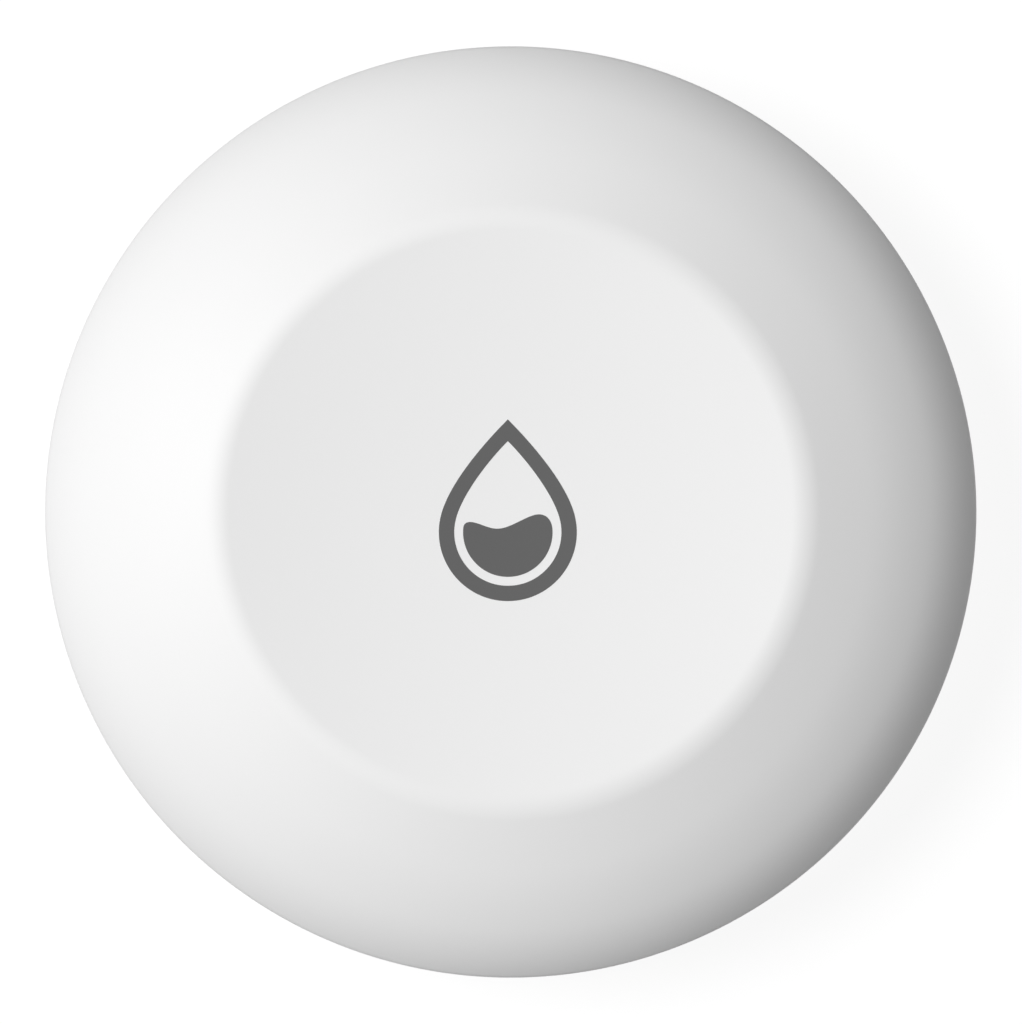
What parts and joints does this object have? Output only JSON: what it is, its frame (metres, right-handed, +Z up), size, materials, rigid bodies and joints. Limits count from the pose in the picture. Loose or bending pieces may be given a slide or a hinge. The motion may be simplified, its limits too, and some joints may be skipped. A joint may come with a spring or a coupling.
{
  "type": "water leak sensor",
  "caption": "Round white puck that senses spilt water with metal probes under it, with a pressable dished top.",
  "frame": {"origin": "on the floor under the middle of the round case, at the level of the rubber feet", "axes": "+Z up through the middle of the dished top, +Y towards the tip of the grey drop"},
  "size_m": [0.05, 0.05, 0.015],
  "materials": {
    "white_case": "fine matt moulded white",
    "white_membrane": "fine matt moulded white, soft",
    "grey_print": "flat grey moulded inlay",
    "milky_plate": "milky, lets the lamp's light through",
    "white_base": "fine matt moulded white",
    "seal_rubber": "smooth moulded silicone",
    "zinc_screw": "bright zinc",
    "foot_rubber": "matt grey rubber",
    "white_hatch": "fine matt moulded white",
    "cell_steel": "polished nickel-plated steel",
    "cell_gasket": "dark plastic",
    "cell_filling": "pressed black powder",
    "cell_anode": "soft dull metal",
    "cradle_plastic": "black moulded",
    "contact_nickel": "nickel-plated spring strip",
    "board_green": "green solder mask",
    "black_plastic": "black moulded",
    "shield_steel": "tinned sheet",
    "lamp_white": "clear moulded lamp",
    "capacitor_yellow": "moulded yellow",
    "chip_ceramic": "tan ceramic",
    "probe_steel": "polished stainless",
    "sleeve_brass": "turned brass"
  },
  "bodies": {
    "case": {"top_cover": "white_case", "press_membrane": "white_membrane", "droplet_outline": "grey_print", "droplet_water": "grey_print", "base_shell": "white_base", "case_seal": "seal_rubber", "case_screws": "zinc_screw", "rubber_feet": "foot_rubber", "battery_cradle": "cradle_plastic", "positive_contact": "contact_nickel", "negative_contact": "contact_nickel", "circuit_board": "board_green", "board_screws": "zinc_screw", "switch_body": "black_plastic", "switch_cover": "shield_steel", "switch_dome": "contact_nickel", "radio_chip": "black_plastic", "radio_shield": "shield_steel", "antenna": "contact_nickel", "crystal": "shield_steel", "status_led": "lamp_white", "bulk_capacitor": "capacitor_yellow", "chip_parts": "chip_ceramic", "probe_screws": "probe_steel", "probe_seals": "seal_rubber", "probe_sleeves": "sleeve_brass"},
    "button": {"press_plate": "milky_plate"},
    "stem": {"switch_stem": "black_plastic"},
    "battery": {"coin_cell_can": "cell_steel", "coin_cell_gasket": "cell_gasket", "coin_cell_cathode": "cell_filling", "coin_cell_anode": "cell_anode", "coin_cell_cap": "cell_steel", "hatch_seal": "seal_rubber"},
    "hatch": {"battery_hatch": "white_hatch"}
  },
  "joints": [
    {"name": "top_press", "type": "slide", "parent": "case", "child": "button", "axis": [0, 0, -1], "range_m": [0, 0.0003], "stiffness_N_per_m": 2000, "springref_m": -0.0003, "deforming": ["press_membrane", "droplet_outline", "droplet_water"]},
    {"name": "stem_press", "type": "slide", "parent": "case", "child": "stem", "axis": [0, 0, -1], "range_m": [0, 0.0003], "deforming": ["switch_dome"]},
    {"name": "hatch_lift", "type": "slide", "parent": "case", "child": "battery", "axis": [0, 0, -1], "range_m": [0, 0.005]},
    {"name": "hatch_turn", "type": "hinge", "parent": "battery", "child": "hatch", "pos_m": [0, 0, 0.003], "axis": [0, 0, -1], "range_deg": [0, 300]}
  ],
  "couplings": [
    {"joint": "stem_press", "follows": "top_press", "ratio": 1},
    {"joint": "hatch_lift", "follows": "hatch_turn", "m_per_rad": 0.00095493}
  ]
}
